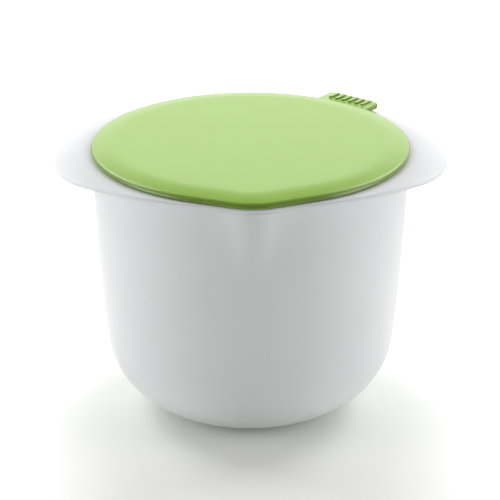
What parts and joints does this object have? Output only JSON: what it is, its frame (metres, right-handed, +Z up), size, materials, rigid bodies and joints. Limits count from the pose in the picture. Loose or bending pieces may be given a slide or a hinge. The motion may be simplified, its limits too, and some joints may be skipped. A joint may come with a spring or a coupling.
{
  "type": "yogurt maker",
  "caption": "Round microwave bowl with a pour spout, a strainer basket whose winged brim rests on the bowl's rim, and a soft lid with a grip tab.",
  "frame": {"origin": "middle of the flat face that the bowl stands on", "axes": "+Z up, -Y towards the pour spout, X along the two wing handles"},
  "size_m": [0.178, 0.1482, 0.1266],
  "materials": {
    "bowl_plastic": "white moulded polypropylene, softly glossy and slightly translucent",
    "strainer_plastic": "white moulded polypropylene, glossy on the brim's rounded edge",
    "screen_plastic": "white moulded plastic screen with fine drain slots",
    "lid_silicone": "matte light green silicone"
  },
  "bodies": {
    "bowl": {"bowl": "bowl_plastic"},
    "strainer": {"strainer_frame": "strainer_plastic", "wall_screens": "screen_plastic", "floor_screen": "screen_plastic"},
    "lid": {"lid": "lid_silicone"}
  },
  "joints": [
    {"name": "strainer_lift", "type": "slide", "parent": "bowl", "child": "strainer", "axis": [0, 0, 1], "range_m": [0, 0.12]},
    {"name": "lid_lift", "type": "slide", "parent": "strainer", "child": "lid", "axis": [0, 0, 1], "range_m": [0, 0.08]}
  ]
}
